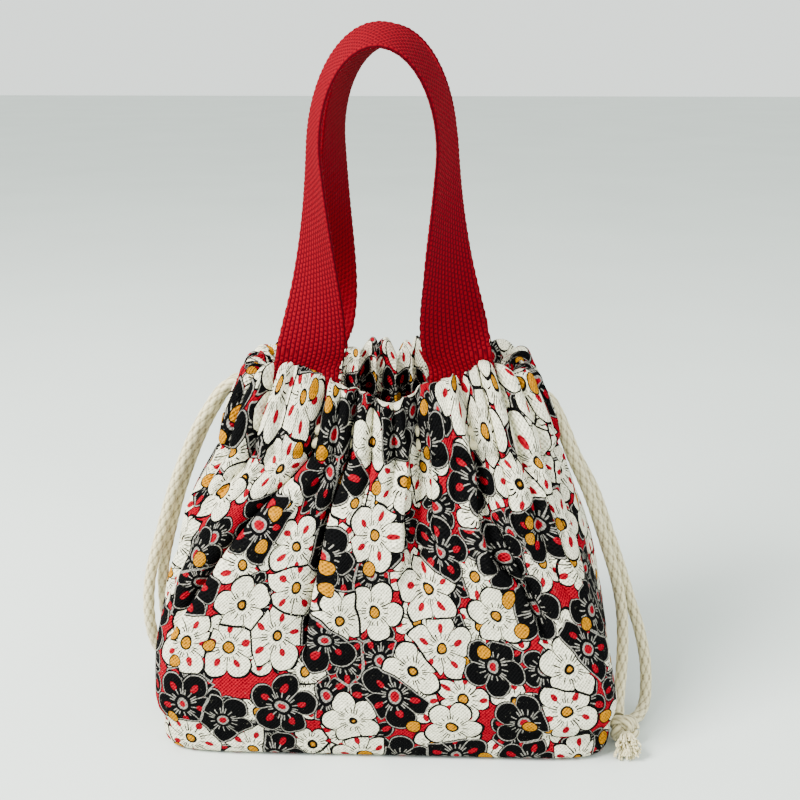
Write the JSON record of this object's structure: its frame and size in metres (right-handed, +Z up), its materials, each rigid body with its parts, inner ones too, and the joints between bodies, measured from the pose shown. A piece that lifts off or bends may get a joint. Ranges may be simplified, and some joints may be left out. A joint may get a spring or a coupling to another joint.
{
  "type": "drawstring lunch bag",
  "caption": "Small soft lunch bag of lined canvas, gathered by drawcords in a casing round its mouth, with webbing handles that fold outwards.",
  "frame": {"origin": "middle of the base, on the surface that the bag stands on", "axes": "+Z up out of the mouth, +X to the bag's right along its wide side, -Y out of its front"},
  "size_m": [0.254, 0.1326, 0.3238],
  "materials": {
    "canvas": "plain-woven printed cotton canvas, matte",
    "lining": "thin plain cotton, matte",
    "webbing": "coarse woven cotton webbing, matte",
    "cord": "braided cotton cord, matte"
  },
  "bodies": {
    "body": {"outer_front": "canvas", "outer_back": "canvas", "lining_front": "lining", "lining_back": "lining", "side_seam_left": "canvas", "side_seam_right": "canvas", "bottom_seam": "canvas", "corner_seam_left": "canvas", "corner_seam_right": "canvas", "casing_side_left": "canvas", "casing_side_right": "canvas", "left_cord_turn": "cord", "right_cord_turn": "cord", "left_cord_front_lead": "cord", "left_cord_back_lead": "cord", "right_cord_front_lead": "cord", "right_cord_back_lead": "cord"},
    "front_rim": {"casing_front": "canvas", "facing_front": "canvas", "left_cord_front_run": "cord", "right_cord_front_run": "cord", "handle_end_front_left": "webbing", "handle_end_front_right": "webbing"},
    "back_rim": {"casing_back": "canvas", "facing_back": "canvas", "left_cord_back_run": "cord", "right_cord_back_run": "cord", "handle_end_back_left": "webbing", "handle_end_back_right": "webbing"},
    "front_handle": {"handle_front": "webbing"},
    "back_handle": {"handle_back": "webbing"},
    "left_pull": {"left_front_strand": "cord", "left_back_strand": "cord", "left_knot": "cord", "left_tassel": "cord"},
    "right_pull": {"right_front_strand": "cord", "right_back_strand": "cord", "right_knot": "cord", "right_tassel": "cord"}
  },
  "joints": [
    {"name": "mouth_front_slide", "type": "slide", "parent": "body", "child": "front_rim", "axis": [0, 1, 0], "range_m": [0, 0.0135]},
    {"name": "mouth_back_slide", "type": "slide", "parent": "body", "child": "back_rim", "axis": [0, -1, 0], "range_m": [0, 0.0135]},
    {"name": "left_cord_pull", "type": "slide", "parent": "body", "child": "left_pull", "axis": [-1, 0, 0], "range_m": [0, 0.027]},
    {"name": "right_cord_pull", "type": "slide", "parent": "body", "child": "right_pull", "axis": [1, 0, 0], "range_m": [0, 0.027]},
    {"name": "front_handle_fold", "type": "hinge", "parent": "front_rim", "child": "front_handle", "pos_m": [0, -0.024, 0.176], "axis": [1, 0, 0], "range_deg": [-6, 92]},
    {"name": "back_handle_fold", "type": "hinge", "parent": "back_rim", "child": "back_handle", "pos_m": [0, 0.024, 0.176], "axis": [-1, 0, 0], "range_deg": [-6, 92]}
  ],
  "couplings": [
    {"joint": "mouth_back_slide", "follows": "mouth_front_slide", "ratio": 1},
    {"joint": "left_cord_pull", "follows": "mouth_front_slide", "ratio": 2},
    {"joint": "right_cord_pull", "follows": "mouth_front_slide", "ratio": 2}
  ]
}
